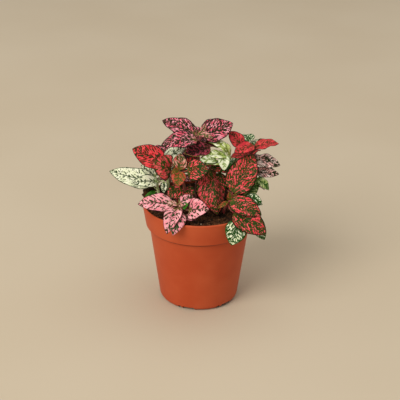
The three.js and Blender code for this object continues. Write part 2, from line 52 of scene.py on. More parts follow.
# The pot, measured on its node. The corners of its rim lie inward of its radius and below its top,
# those of its band inward of the band's lower radius and above its lower edge.
pot_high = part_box("pot")[1]
RIM_CORNERS = ((0.2, 1), (0.6, 0), (1.7, 0), (2, 0.8))
BAND_CORNERS = ((0.7, 0), (0, 0.8))
POT_HEIGHT = pot_high.z / MM
RIM_RADIUS = pot_high.x / MM + RIM_CORNERS[0][0]
BAND_LOW_RADIUS = RIM_RADIUS - 3.4
BAND_LOW_HEIGHT = POT_HEIGHT - 22
NECK_RADIUS = RIM_RADIUS - 6.5
NECK_DROP = 0.4
FOOT_RADIUS = RIM_RADIUS - 16.6
FOOT_ROUNDING = 3
FOOT_BEND = (0.35, 0.3)
WALL = 1.5
LEDGE_RISE = 2.5
LEDGE_DROP = 1
POT_FLOOR = 2.4
INNER_CORNER = (1.5, 2)
POT_SIDES = 144
CORNER_CUT = 0.6
CORNER_SHARE = 0.45
CORNER_STEPS = 4
GROOVE_INNER = 12
GROOVE_OUTER = 29
GROOVE_DEPTH = 0.9

# The drainage slots round the foot: a wide one and a narrow one beside it, each cut by a box.
SLOT_COUNT = 6
SLOT_HEIGHT = 3.2
SLOT_WIDTH = 11
SLOT_NARROW = 3
SLOT_OFFSET = -14
SLOT_START = -105
SLOT_LENGTH = 8
SLOT_INSET = 1
SLOT_BELOW = 1

# The soil: its gap to the pot, the corners of its foot, its height at the edge, its mound and its lumps,
# whose sizes have weights.
GAP = 0.3
SOIL_FOOT = ((2, 0), (0.1, 2.4))
SOIL_EDGE = 93.5
SOIL_MOUND = 4.5
SOIL_ROUGHNESS = 1.6
SOIL_WAVES = ((3, 9, 0), (5, -7, 1), (8, 13, 2))
SOIL_RINGS = 56
SOIL_SIDES = 168
INNER_RING = 0.015
LUMP_HEIGHT = 0.9
LUMPS = ((5.0, 1.0), (2.2, 0.6), (1.0, 0.3))
LUMP_MARGIN = 0.03
CLUMP_CENTRE = (-45.5, 13, 99.5)
CLUMP_RADII = (9.5, 12, 6.5)
CLUMP_SHRINKAGE = 0.93
CLUMP_ROUGHNESS = 0.32

# Loose crumbs, plain in form below a size, and bits of perlite. The noise that roughens each lump: its
# scales, each with its share and its shift from one seed to the next.
CRUMBS = 620
PERLITE = 7
PERLITE_SIZE = 0.75
CRUMB_SEED = 900
CRUMB_REACH = 0.97
CRUMB_SMALLEST = 0.5
CRUMB_SPREAD = 1.3
CRUMB_FLATTEST = 0.7
CRUMB_UNEVENNESS = 0.6
CRUMB_LIFT = 0.25
CRUMB_ROUGHNESS = 0.6
PLAIN_CRUMB = 1
ROUGH_NOISE = ((1.7, 1, (7.3, 3.1, 0)), (4.1, 0.5, (0, 5.7, 0)))

# Stems: how they thin, lean and rise, and how they swell where leaves grow. Stalks: how they thin and
# bend. Each stem's seeds start this step after the last one's.
STEM_SEEDS = 100
STEM_RADIUS = 1.7
STEM_TAPER = 0.62
STEM_LEAN = 0.15
STEM_RISE = 0.55
STEM_SIDES = 12
STEM_STEPS = 30
NODE_SWELLING = 0.28
NODE_LENGTH = 0.022
ROOT_LEVEL = 96
ROOT_DEPTH = 11.5
ROOT_STEPS = 4
STALK_RADIUS = 0.75
STALK_START = 1.15
STALK_TAPER = 0.55
STALK_BEND = 0.45
STALK_SIDES = 8
STALK_STEPS = 9
CAP_LENGTHS = (0.5, 0.6)

# Hairs on stems and stalks. Their seeds are this multiple of the stem's or the leaf's.
HAIR_SEEDS = 7
STEM_HAIRS = 70
STALK_HAIRS = 9
HAIR_LENGTH = 0.7
HAIR_SHORTEST = 0.6
HAIR_SPREAD = 0.8
HAIR_RADIUS = 0.04
HAIR_SINK = 0.05
HAIR_LEAN = 0.3
HAIR_MARGIN = 0.03

# Blades: their thickness, how full they are towards base and tip, their waved edges, their rows and
# columns of points, their veins and the quilting between them, and their midrib.
BLADE_THICKNESS = 0.42
EDGE_ROUNDING = 6
BASE_FULLNESS = 0.5
TIP_FULLNESS = 0.82
NARROWEST = 0.3
EDGE_WAVE = 0.045
EDGE_WAVES = 2
HALF_LEAD = 0.37
FINE_WAVE = 0.14
FINE_WAVES = 7
ROW_LENGTH = 0.8
FEWEST_ROWS = 14
MOST_ROWS = 40
FIRST_ROW = 0.04
LAST_ROW = 0.98
COLUMNS = 23
COLUMN_CROWDING = 1.25
VEIN_PAIRS = 8
CLOSEST_VEINS = 2.4
VEIN_SLANT = 0.6
VEIN_CURVE = 0.03
QUILT = 0.2
QUILT_BELOW = 0.8
QUILT_MARGIN = 2
QUILT_LENGTH = 25
RIB_GROOVE = 0.22
RIB_RIDGE = 0.4
RIB_WIDTH = 0.6
RIB_BLADE_WIDTH = 15

# Markings: a leaf whose spots cover more than this share has dark flecks. Any other has bright ones, with
# small ones between them. Both are darker near the midrib, and noise moves and tears the flecks.
MOSTLY_BRIGHT = 0.65
RIB_CROWDING = 0.12
CROWDED_FROM = 0.3
CROWDED_TO = 4.5
FLECK_TEAR = 0.42
FLECK_EDGE = 0.05
SMALL_FLECK_SCALE = 1.9
SMALL_FLECK_REACH = 0.27
SMALL_FLECK_TEAR = 0.2
WARP = 3.2
WARP_SCALE = 0.32
LEAF_SHIFT = 97.0
HALF_SHIFT = 13.0

# How far the noise moves a leaf's vein lines, midrib and edge, and from where to where they fade: in vein
# spacings, in millimetres and in edge widths. Its young base fades along and across it, and some of its
# markings show on its underside.
VEIN_WARP = 0.03
VEIN_FADE = (0.03, 0.11)
VEIN_HOLLOW = 0.5
HOLLOW_FADE = (0, 0.12)
RIB_START = 1.25
RIB_WARP = 0.12
RIB_FADE = (-0.1, 0.3)
RIB_COVER = 0.8
EDGE_WARP = 0.25
EDGE_FADE = (0.5, 1.6)
YOUNG_COVER = 0.7
YOUNG_LENGTH = (0.02, 0.22)
YOUNG_WIDTH = (0.5, 5)
YOUNG_SIDES = 0.2
MARKED_BELOW = 0.3

# The painted shade line under the band, above and below its lower edge, and the painted shade in the
# drainage slots.
SEAM_SHADE_BELOW = (2.2, 0.3)
SEAM_SHADE_ABOVE = (0.3, 1.1)
SHADE_INWARD = (2.2, 1.4)
SHADE_FADE = 0.6
SHADE = 0.75

# Colours of the pot, the soil, the hairs and the floor.
POT_RED = 0xB84A25
POT_ORANGE = 0xC15630
POT_SCUFF = 0xC66C45
# The next colour is painted shade, for the line just under the band's lower edge.
POT_SEAM_SHADE = 0x4A2014
# The next colour is painted shade, for the inside of the foot by the drainage slots.
POT_SHADE = 0x2E1810
PEAT_DARK = 0x24160C
PEAT_BROWN = 0x56351D
PEAT_FIBRE = 0xA07048
PERLITE_DULL = 0x8A7C68
PERLITE_PALE = 0xB0A490
HAIR_DULL = 0xB9B08A
HAIR_PALE = 0xD8D2B4
FLOOR_DULL = 0xC3B49C
FLOOR_PALE = 0xC7B9A2

# The floor's half width and how far it lies below the pot, and a pale room. Each light has its place,
# target, size, power and tint, in metres and watts: a large soft one from the front left, a weaker one
# above and a faint one from the right.
FLOOR_HALF = 9000
FLOOR_DROP = 0.1
LIGHTS = {
    "key": ((-1.85, -2.15, 2.5), (0, 0, 0.1), 2.4, 104, (1.0, 0.97, 0.92)),
    "overhead": ((0.4, 0.5, 2.6), (0.1, 0, 0), 3.0, 22, (1.0, 0.96, 0.9)),
    "fill": ((1.3, -0.9, 0.8), (0, 0, 0.1), 1.0, 0.5, (0.97, 0.97, 1.0)),
}
ROOM_TINT = (0.85, 0.82, 0.77, 1)
ROOM_STRENGTH = 0.48

# The camera stands 800 mm in front of the pot's axis and looks down on it. Its angles are in degrees, its
# lens and sensor in millimetres, and it sees to a distance in metres.
CAMERA_PLACE = (0, -799.8, 472.8)
CAMERA_PITCH = 25.045
CAMERA_YAW = 0.035
CAMERA_ROLL = 0.61
CAMERA_LENS = 84.2
CAMERA_SENSOR = 36
CAMERA_RANGE = 20

# The ways that most leaves face.
UP = (0, -0.15, 1)
UP_FRONT = (0, -0.5, 0.85)
FRONT_UP = (0, -0.7, 0.7)
FRONT = (0, -0.88, 0.45)

# Each stem, under what follows stem_ in its node's name: its variety, where it stands in the soil, its
# top, and its leaves. A leaf is how far up the stem its stalk starts, then the base and the tip of its
# blade, its width, the way its upper side faces, how far its midrib arches as a share of its length, and
# its fold in degrees. The last three are left out where they are as usual.
Stem = namedtuple("Stem", ("look", "root", "top", "leaves"))
Leaf = namedtuple("Leaf", ("start", "base", "tip", "width", "face", "arch", "fold"), defaults=(UP, 0.1, 8))
STEMS = {
    "top_magenta": Stem("magenta", root=(-3, 8), top=(0, -2, 164), leaves=[
        (0.98, (-4, 0, 163.5), (-35, 12, 174), 21, UP_FRONT, 0.06, 12),
        (0.98, (3, -1, 163.5), (30, 8, 173.5), 24, (0.1, -0.6, 0.8), 0.02),
        (0.95, (-3, -6, 162), (-35.5, -14, 158.5), 20, (-0.1, -0.5, 0.85), 0.12),
        (0.95, (4, 4, 161), (29, 30, 158), 19, UP, 0.1, 10),
        (0.98, (-3, -4, 167), (12, -13, 166), 8, UP_FRONT, 0.12, 14),
        (0.99, (1, -1, 166), (5, 3, 175), 6, FRONT, 0.05, 20),
        (0.99, (-1, -2, 166), (-6, -7, 172), 5, FRONT_UP, 0.05, 20),
        (0.96, (4, 4, 163), (13, 30, 169.5), 12, UP, 0.1, 10),
        (0.94, (-3, 5, 161), (-19, 31, 159), 18, UP, 0.1, 10),
        (0.85, (9, -3, 154), (-14, -16, 152.5), 18, (0, -0.6, 0.8), -0.05, 20),
        (0.55, (-6, 8, 138), (-22, 26, 140), 17),
        (0.74, (2, 10, 149), (4, 34, 150), 17),
        (0.74, (-6, 8, 149), (-25, 22, 150), 16),
        (0.85, (5, 4, 154.5), (24, 6, 151.5), 14, (0.1, -0.3, 0.95), 0.08),
    ]),
    "left_red": Stem("red_dense", root=(-20, -10), top=(-31, -13, 146), leaves=[
        (0.96, (-33, -13, 142.5), (-61.5, -10, 154.5), 22, (-0.1, -0.75, 0.65), 0.01),
        (0.9, (-26.5, -18, 137.5), (-42.5, -31, 149), 24, (0.1, -0.85, 0.5), 0.14),
        (0.97, (-35, -9, 142), (-51, 13, 139), 16),
    ]),
    "left_white": Stem("white", root=(-37, -12), top=(-40, -5, 121), leaves=[
        (0.95, (-42, -6, 118.5), (-84.5, 4, 126), 21, (-0.1, -0.6, 0.8), 0),
        (0.95, (-39, -12, 123), (-61, -18, 124), 13, FRONT_UP, 0.1, 10),
        (0.98, (-41, -2, 123), (-55, 6, 131.5), 10, FRONT_UP, 0.08, 10),
        (0.95, (-38, 4, 122), (-46, 24, 124), 14),
        (0.9, (-33, -8, 121), (-33, -14, 112), 7, FRONT, 0.05, 10),
        (0.6, (-41, -6, 110), (-51, -8, 105.5), 5, FRONT_UP, 0.05, 10),
        (0.7, (-43, 1, 112), (-51, 20, 111), 13, (-0.3, 0.2, 1)),
    ]),
    "inner_white": Stem("white", root=(-28, 0), top=(-33, 0, 137), leaves=[
        (0.98, (-33, 0, 138), (-12, 6, 153), 14, (-0.2, -0.75, 0.6), 0.08),
        (0.9, (-30, 0, 132), (-22, -2, 139), 7, FRONT, 0.05),
        (0.8, (-36, 4, 128), (-52, 18, 125), 15, (-0.2, 0.2, 1)),
        (0.68, (-27, 8, 122), (-9, 15, 122.5), 13, UP, 0.06),
    ]),
    "centre_red": Stem("red", root=(-11, -17), top=(-18, -20, 136), leaves=[
        (0.99, (-18.5, -21, 139), (-17.5, -13, 151.5), 14, FRONT, 0.08, 10),
        (0.97, (-13, -16, 139), (-3, -8, 146), 11, FRONT_UP, 0.08, 10),
        (0.99, (-18.5, -22, 137), (-19.5, -33, 127.5), 14, (0, -0.8, 0.6)),
        (0.97, (-11, -22, 138.5), (8, -30, 143), 21, (0, -0.85, 0.5)),
        (0.97, (-19, -21, 137.5), (-26, -25, 137), 7, FRONT_UP, 0.08, 10),
        (0.55, (-16, -18, 118), (-30, -26, 114), 16, (-0.2, -0.8, 0.6)),
        (0.55, (-14, -16, 117), (-4, -22, 115.5), 12, FRONT_UP),
    ]),
    "front_pink": Stem("pink", root=(-16, -32), top=(-18, -34, 109), leaves=[
        (0.98, (-24, -34, 110.5), (-55.5, -37, 111.5), 19, (-0.1, -0.6, 0.8), 0.08),
        (0.95, (-20, -36, 107), (-28.8, -58, 92.3), 17, (-0.2, -0.85, 0.5), 0.15, 22),
        (0.9, (-17, -40, 105.5), (-23.5, -60, 92), 14, (0.1, -0.85, 0.5), 0.16, 4),
        (0.98, (-18.5, -35, 112), (-5.7, -30, 117), 10, FRONT_UP, 0.08, 10),
        (0.95, (-9, -38, 106.5), (8.5, -50, 113.5), 21, (0, -0.8, 0.6), 0.08, 20),
        (0.98, (-20, -35, 110.5), (-29, -37, 113), 6, UP_FRONT, 0.08, 14),
        (0.98, (-18, -35, 110), (-13, -38, 111), 5, UP_FRONT, 0.08, 14),
        (0.95, (-15, -36, 108), (-10, -38, 113), 6, FRONT_UP, 0.08, 14),
        (0.5, (-13, -38, 100), (-3, -44, 99.5), 7, FRONT_UP, 0.08, 10),
    ]),
    "middle_red": Stem("red", root=(6, -6), top=(10, -6, 138), leaves=[
        (0.99, (10, -12, 136), (16.5, -34, 100), 37, (0.3, -0.8, 0.5), 0.08, -38),
        (0.9, (9, 0, 132), (18, 22, 130), 17),
        (0.5, (8, -10, 117), (-2, -14, 108), 12, FRONT_UP),
        (0.8, (17, -9, 131), (20, -15, 110), 14, (0.2, -0.8, 0.5)),
        (0.95, (9, -10, 136.5), (25, -15, 133.5), 12, (0, -0.35, 0.95), 0.12, 10),
    ]),
    "right_red": Stem("red", root=(22, -22), top=(29, -28, 111), leaves=[
        (0.98, (30, -24, 118.5), (49.5, -6, 148.5), 28, FRONT, 0.06, 6),
        (0.95, (28, -34, 114), (55.8, -45, 105.5), 20, (0.1, -0.7, 0.7)),
        (0.8, (31.4, -40.3, 105.6), (59.5, -52.3, 90), 24, (0.1, -0.75, 0.65), 0.12),
        (0.99, (27, -29, 112), (27, -30, 122), 5, FRONT, 0.05, 14),
        (0.99, (26, -29, 111), (16.4, -34, 106.5), 5, FRONT_UP, 0.08, 14),
        (0.99, (29, -29, 111), (34, -24, 118), 5, FRONT_UP, 0.05, 14),
        (0.9, (30.5, -14, 113), (27, 5, 126), 11, (-0.3, -0.8, 0.5), 0.08),
    ]),
    "right_green_white": Stem("green_white", root=(33, -12), top=(44, -16, 112), leaves=[
        (0.5, (35.5, -45.5, 99.5), (29, -58.5, 82), 20, (0, -0.9, 0.4), 0.08, 4),
        (0.6, (46, -36, 100), (59.5, -44, 80.5), 15, (0.2, -0.8, 0.5), 0.12),
        (0.95, (42.7, -24, 113), (57, -26, 110), 11, FRONT_UP),
        (0.97, (41, -18, 112), (55, -10, 123.3), 12, (0.3, -0.8, 0.5), 0.08),
        (0.98, (52, -8, 125), (64, -12, 115.5), 10, (0.3, -0.6, 0.7), 0.15),
        (0.6, (45, -12, 104), (59, -6, 98), 14, (0.4, -0.2, 0.9), 0.12),
    ]),
    "right_pale_pink": Stem("pale_pink", root=(36, 4), top=(50, 7, 137), leaves=[
        (0.98, (52, 8, 137), (75, 6, 132.6), 15, (0, -0.6, 0.8)),
        (0.9, (53, 2, 126.5), (74, 2, 125.5), 12, (0, -0.6, 0.8)),
        (0.97, (51, 12, 136), (62, 32, 130), 14),
        (0.7, (47, 10, 122), (66, 22, 120), 15),
        (0.4, (44, 8, 110), (62, 16, 103), 16, (0.4, 0.2, 0.9), 0.12),
    ]),
    "upper_red": Stem("red_bright", root=(26, 8), top=(52, 1, 152), leaves=[
        (0.98, (50, 0, 152.5), (72.5, 2, 156), 18, UP, 0.1, 6),
        (0.96, (39, 4, 152.4), (26.5, 10, 164.5), 14, FRONT_UP, 0.08),
        (0.98, (49, -3, 156), (31, -14, 152.5), 15, (0, -0.4, 0.9), 0.06),
        (0.94, (44, -1, 145), (28, -7, 145.5), 13, UP, 0.06),
        (0.8, (44, 12, 140), (57, 26, 140), 14, (0.1, 0.2, 1)),
    ]),
    "centre_green": Stem("yellow_green", root=(14, 4), top=(25, -4, 145), leaves=[
        (0.98, (27, -6, 143.5), (8, -3, 158.7), 13, (0.6, -0.45, 0.7), 0.3),
        (0.96, (27.5, -9.5, 146.5), (3, -12, 148.5), 15),
        (0.9, (15, -14, 145.5), (-1, -20, 147.5), 9, FRONT_UP, 0.1, 20),
        (0.86, (21.5, -12, 149.5), (22, -22, 139), 11, FRONT),
        (0.76, (22, -12, 141), (3, -19, 142.5), 9),
        (0.45, (16, 7, 115), (11, 21, 113), 13),
        (0.72, (24.5, -1, 132.5), (35, 1, 131.5), 12, UP, 0.08),
    ]),
    "back_left_pink": Stem("pink", root=(-20, 20), top=(-30, 24, 132), leaves=[
        (0.98, (-32, 26, 133), (-48, 38, 137), 15),
        (0.96, (-29, 28, 132), (-22, 53, 130), 18),
        (0.99, (-29, 23, 133), (-24, 16, 142), 8, UP, 0.08, 12),
        (0.75, (-33, 25, 118), (-61, 28, 112), 19, (-0.2, 0.1, 1)),
        (0.75, (-30, 29, 120), (-44, 50, 114), 18, (-0.2, 0.4, 0.9), 0.12),
        (0.4, (-25, 27, 106), (-32, 52, 98.5), 17, (0, 0.4, 0.9), 0.14),
        (0.6, (-24, 18, 113), (-6, 14, 112), 14),
        (0.4, (-28, 20, 108), (-50, 30, 104), 14, (-0.3, 0.3, 0.9), 0.12),
    ]),
    "back_red": Stem("red", root=(0, 28), top=(-2, 35, 137), leaves=[
        (0.98, (-1, 38, 138), (3, 63, 134), 19),
        (0.98, (-5, 36, 138), (-24, 35, 141), 16),
        (0.98, (2, 34, 138.5), (14, 30, 144), 12),
        (0.78, (-5, 37, 124), (-22, 55, 119), 18, (-0.1, 0.3, 1), 0.12),
        (0.74, (3, 37, 124), (23, 54, 119), 18, (0.1, 0.3, 1), 0.12),
        (0.45, (1, 38, 110), (4, 64, 98), 18, (0, 0.4, 0.9), 0.16, 6),
        (0.4, (-5, 31, 108), (-18, 38, 105), 13, (-0.2, 0.3, 1)),
        (0.4, (4, 30, 107), (17, 35, 105), 13, (0.2, 0.3, 1)),
    ]),
    "back_right_white": Stem("green_white", root=(23, 19), top=(45, 20.5, 150), leaves=[
        (0.98, (45, 21, 150.5), (44, 40, 150), 15),
        (0.94, (48, 20, 146), (64, 30, 145), 13),
        (0.6, (42, 24, 127), (60, 40, 122), 17),
        (0.5, (34, 26, 125), (24, 49, 121), 17),
        (0.3, (33, 24, 112), (56, 38, 103), 18, UP, 0.14),
        (0.36, (26, 28, 115), (33, 52, 106), 16, (0, 0.3, 1), 0.12),
    ]),
}

# Leaves that differ from the rest of their stem, by their places in its list.
# The maroon look is painted shade: a darker copy of the magenta and red looks, for leaves that lie in
# shade.
OTHER_LOOKS = {
    "top_magenta": {
        4: "magenta_young", 5: "magenta_young", 6: "magenta_young", 9: "maroon_shaded", 13: "maroon_shaded",
    },
    "left_red": {1: "red_green"},
    "left_white": {5: "green"},
    "inner_white": {3: "green"},
    "centre_red": {0: "red_pale", 1: "red_dense", 2: "red_young", 4: "red_young"},
    "front_pink": {2: "pink_green", 5: "pink_young", 6: "pink_young", 7: "green"},
    "right_red": {3: "red_young", 4: "red_young", 5: "red_young", 6: "maroon_shaded"},
    "right_green_white": {3: "green_striped", 4: "green_striped"},
    "back_left_pink": {0: "magenta", 2: "magenta"},
    "centre_green": {2: "whitish", 3: "whitish", 6: "green"},
}

# The colours of each variety: its spots, dull and bright, the ground between them, its young base, its
# edge, its underside, and its stems where it has any.
COLOURS = {
    "magenta": (0xEA5A74, 0xFCA0B0, 0x1A2008, 0x6E6A2E, 0x34161A, 0x6A3836, 0x5A4630),
    "magenta_young": (0xE07C86, 0xF0A8A6, 0x4A5022, 0x7E8A2C, 0x6A2A30, 0x80603A),
    # Painted shade: the maroon look darkens magenta and red for leaves in shade.
    "maroon_shaded": (0x8A2438, 0xB04A5A, 0x281A12, 0x4A3420, 0x7E7A2E, 0x6E5230),
    "red_dense": (0xD62E38, 0xF05254, 0x242E0E, 0x8A3A20, 0x34100C, 0x74402C, 0x663C28),
    "red_bright": (0xBE2A34, 0xD64446, 0x3A3012, 0x8A3A20, 0x34100C, 0x74402C, 0x663C28),
    "red_green": (0xD8424A, 0xF06466, 0x2C4614, 0x5A5A20, 0x4A1C16, 0x725230),
    "red": (0xEC3A4C, 0xFC626C, 0x243E10, 0x4E5A20, 0x382012, 0x64542C, 0x663C28),
    "red_young": (0xC03A36, 0xD45A4A, 0x4C5418, 0x706A18, 0x74321E, 0x80803C),
    "red_pale": (0xCC4648, 0xD8A090, 0x3C4A1C, 0x6E6018, 0x6A3422, 0x6E6038),
    "pink": (0xF4909E, 0xFAB2B8, 0x2C3618, 0x8E8040, 0x5E2A30, 0xA87E68, 0x7C6636),
    "pink_green": (0xEE8898, 0xF6A6B0, 0x22421A, 0x3A5A24, 0xD88090, 0xA0725C),
    "pink_young": (0xE8A29C, 0xF2C4BA, 0x6E5E32, 0x9E9050, 0x9A5250, 0xA88E72),
    "pale_pink": (0xF6B4AE, 0xFFE6DC, 0x252E12, 0x525224, 0x3E3020, 0x807050, 0x645430),
    "white": (0xE4EAC4, 0xF2F4D8, 0x1E3414, 0x82A048, 0x2C4420, 0xC0CA96, 0xACBC7C),
    "whitish": (0xD6DEB8, 0xE2E6CA, 0x869A5A, 0x92AC50, 0x5C7A38, 0xB0C084),
    "green_white": (0xE6EEC0, 0xF8FCDC, 0x1C4A12, 0x3A6428, 0x28561C, 0x74924E, 0x648440),
    "green_striped": (0xA6B86A, 0xC6D092, 0x30561C, 0x5A8028, 0x3A5A22, 0x749246),
    "yellow_green": (0xCADA7C, 0xF8FADC, 0x7A8A38, 0x789A38, 0x7A9038, 0x98B252, 0x92AC50),
    "green": (0x3C7C22, 0x4C8C30, 0x2C6418, 0x4A8428, 0x2A5418, 0x668F42),
}

# The markings of each variety: the share that its spots cover, the length and width of its flecks, the
# width of its edge and of its midrib, and how much its veins show through the spots.
MARKINGS = {
    "magenta": (0.29, 2.2, 2.0, 0.9, 0.3, 0.1),
    "magenta_young": (0.52, 2.0, 1.4, 0.3, 0.4, 0.2),
    # The maroon markings belong to the painted shade look for leaves in shade.
    "maroon_shaded": (0.42, 2.8, 1.9, 0.5, 0.3, 0.2),
    "red_dense": (0.67, 2.4, 2.0, 0.6, 0.25, 0.1),
    "red_bright": (0.79, 2.1, 1.5, 0.6, 0.25, 0.1),
    "red_green": (0.5, 2.3, 2.0, 0.5, 0.4, 0.15),
    "red": (0.24, 2.2, 2.1, 0.9, 0.35, 0.15),
    "red_young": (0.4, 2.2, 1.3, 0.3, 0.5, 0.2),
    "red_pale": (0.46, 2.2, 1.6, 0.4, 0.4, 0.2),
    "pink": (0.75, 3.0, 2.1, 0.5, 0.6, 0.5),
    "pink_green": (0.52, 3.6, 2.0, 0.2, 0.9, 0.5),
    "pink_young": (0.84, 2.6, 1.6, 0.2, 0.4, 0.4),
    "pale_pink": (0.47, 2.0, 1.6, 0.45, 0.35, 0.2),
    "white": (0.83, 2.2, 1.6, 0.6, 0.6, 0.4),
    "whitish": (0.8, 3.4, 2.0, 0.25, 0.3, 0.3),
    "green_white": (0.3, 2.2, 1.9, 0.7, 0.35, 0.2),
    "green_striped": (0.44, 6.0, 1.6, 0.4, 0.35, 0.2),
    "yellow_green": (0.62, 4.5, 2.2, 0.3, 0.3, 0.2),
    "green": (0.6, 4.0, 2.0, 0.2, 0.3, 0.2),
}


def chance(n):
    """A repeatable value from 0 to 1 for each number given."""
    x = math.sin(n * 12.9898 + 4.1414) * 43758.5453
    return x - math.floor(x)


def unit(v):
    return v / np.linalg.norm(v, axis=-1, keepdims=True)


def bezier(curve, t):
    a, b, c = curve
    t = np.asarray(t, float)[..., None]
    return (1 - t) ** 2 * a + 2 * (1 - t) * t * b + t**2 * c


def bezier_slope(curve, t):
    a, b, c = curve
    t = np.asarray(t, float)[..., None]
    return unit((1 - t) * (b - a) + t * (c - b))


class Shell:
    """Points and faces in millimetres, and marks: seven values at each point for the leaf material.

    Marks are the place across and along the blade, the leaf's own number, the distance from the rim,
    the share of the blade's length, 1 on its upper side, and the place between side veins.
    """

    def __init__(self):
        self.points = []
        self.marks = []
        self.faces = []
        self.slots = []
        self.count = 0

    def add(self, points, faces, slot=0, marks=None):
        points = np.asarray(points, float).reshape(-1, 3)
        self.points.append(points)
        self.marks.append(np.zeros((len(points), 7)) if marks is None else marks)
        self.faces.extend([[i + self.count for i in face] for face in faces])
        self.slots.extend([slot] * len(faces))
        self.count += len(points)

    def object(self, name, materials):
        mesh = bpy.data.meshes.new(name)
        mesh.from_pydata((np.concatenate(self.points) * MM).tolist(), [], self.faces)
        for material in materials:
            mesh.materials.append(material)
        mesh.polygons.foreach_set("material_index", self.slots)
        mesh.polygons.foreach_set("use_smooth", [True] * len(self.faces))
        marks = np.concatenate(self.marks)
        if marks.any():
            for label, columns in (("leaf_place", marks[:, 0:3]), ("leaf_share", marks[:, 3:6])):
                layer = mesh.attributes.new(label, "FLOAT_VECTOR", "POINT")
                layer.data.foreach_set("vector", np.ascontiguousarray(columns, np.float32).ravel())
            layer = mesh.attributes.new("leaf_vein", "FLOAT", "POINT")
            layer.data.foreach_set("value", np.ascontiguousarray(marks[:, 6], np.float32))
        mesh.validate()
        mesh.update()
        return link(bpy.data.objects.new(name, mesh))


def link(thing):
    bpy.context.collection.objects.link(thing)
    return thing


def grid_faces(rows, columns, closed):
    """Quads between rows of points; closed rows join their last point to their first."""
    faces = []
    for i in range(rows - 1):
        for j in range(columns if closed else columns - 1):
            a = i * columns + j
            b = i * columns + (j + 1) % columns
            faces.append([a, b, b + columns, a + columns])
    return faces


def ring_points(line, sides):
    """Rings of points round the upright axis, one for each radius and height."""
    angles = np.linspace(0, 2 * math.pi, sides, endpoint=False)
    return [(r * math.cos(a), r * math.sin(a), z) for r, z in line for a in angles]


def closed_faces(rows, sides):
    """Quads between rings, and fans from the first and last ring to the two points that follow them."""
    faces = grid_faces(rows, sides, True)
    middle = rows * sides
    last = (rows - 1) * sides
    for j in range(sides):
        after = (j + 1) % sides
        faces.append([middle, after, j])
        faces.append([middle + 1, last + j, last + after])
    return faces


def frame_along(curve, t, side):
    """The way a curve runs at each place, and two ways square to it, the first nearest to a side."""
    along = bezier_slope(curve, t)
    normal = unit(np.cross(np.broadcast_to(side, along.shape), along))
    return along, np.cross(along, normal), normal


def tube(curve, steps, sides, radius, side=(1, 0, 0)):
    """Points and faces of a round closed tube along a curve, of a radius given for each step."""
    t = np.linspace(0, 1, steps)
    along, across, normal = frame_along(curve, t, side)
    angles = np.linspace(0, 2 * math.pi, sides, endpoint=False)[None, :, None]
    ring = np.cos(angles) * across[:, None] + np.sin(angles) * normal[:, None]
    centre = bezier(curve, t)
    points = (centre[:, None] + ring * np.asarray(radius(t))[:, None, None]).reshape(-1, 3)
    start = centre[0] - along[0] * radius(t)[0] * CAP_LENGTHS[0]
    end = centre[-1] + along[-1] * radius(t)[-1] * CAP_LENGTHS[1]
    return np.concatenate([points, [start, end]]), closed_faces(steps, sides)


def add_hairs(shell, curve, radius, count, seed, slot, side=(1, 0, 0)):
    """Short pale needles that stand off a stem or a stalk."""
    draws = np.array([[chance(seed + 4 * i + k) for k in range(4)] for i in range(count)])
    t = HAIR_MARGIN + (1 - 2 * HAIR_MARGIN) * draws[:, 0]
    along, across, normal = frame_along(curve, t, side)
    angle = 2 * math.pi * draws[:, 1:2]
    out = np.cos(angle) * across + np.sin(angle) * normal
    way = unit(out + along * (draws[:, 2:3] - HAIR_LEAN))
    root = bezier(curve, t) + out * (radius(t) - HAIR_SINK)[:, None]
    tip = root + way * HAIR_LENGTH * (HAIR_SHORTEST + HAIR_SPREAD * draws[:, 3:4])
    flat = unit(np.cross(way, along))
    other = np.cross(way, flat)
    thirds = (0, 2 * math.pi / 3, 4 * math.pi / 3)
    corners = [root + HAIR_RADIUS * (math.cos(a) * flat + math.sin(a) * other) for a in thirds]
    needle = ((0, 1, 3), (1, 2, 3), (2, 0, 3), (0, 2, 1))
    faces = [[4 * i + k for k in face] for i in range(count) for face in needle]
    shell.add(np.stack([*corners, tip], axis=1), faces, slot)


def stem_curve(stem):
    foot = np.array([*stem.root, ROOT_LEVEL], float)
    top = np.array(stem.top, float)
    return foot, foot + (top - foot) * (STEM_LEAN, STEM_LEAN, STEM_RISE), top


def add_stem(shell, stem, seed, slot, hair_slot):
    """The stem, swollen where its leaves grow, and its straight foot in the soil."""
    places = [Leaf(*leaf).start for leaf in stem.leaves]

    def radius(t):
        swelling = sum(np.exp(-(((t - place) / NODE_LENGTH) ** 2)) for place in places)
        return STEM_RADIUS * (1 - (1 - STEM_TAPER) * t) * (1 + NODE_SWELLING * np.minimum(swelling, 1))

    curve = stem_curve(stem)
    shell.add(*tube(curve, STEM_STEPS, STEM_SIDES, radius), slot)
    add_hairs(shell, curve, radius, STEM_HAIRS, seed, hair_slot)
    foot = curve[0] - (0, 0, ROOT_DEPTH)
    straight = (foot, (foot + curve[0]) / 2, curve[0])
    shell.add(*tube(straight, ROOT_STEPS, STEM_SIDES, lambda t: np.full(len(t), STEM_RADIUS)), slot)


def add_stalk(shell, stem, leaf, curve, first, seed, slot, hair_slot, side):
    """The stalk, from its stem into the first row of its blade."""
    start = bezier(stem_curve(stem), leaf.start)
    bend = curve[0] - bezier_slope(curve, 0.0) * STALK_BEND * np.linalg.norm(curve[0] - start)
    stalk = (start, bend, bezier(curve, first))

    def radius(t):
        return STALK_RADIUS * (STALK_START - STALK_TAPER * t)

    shell.add(*tube(stalk, STALK_STEPS, STALK_SIDES, radius, side), slot)
    add_hairs(shell, stalk, radius, STALK_HAIRS, seed, hair_slot, side)


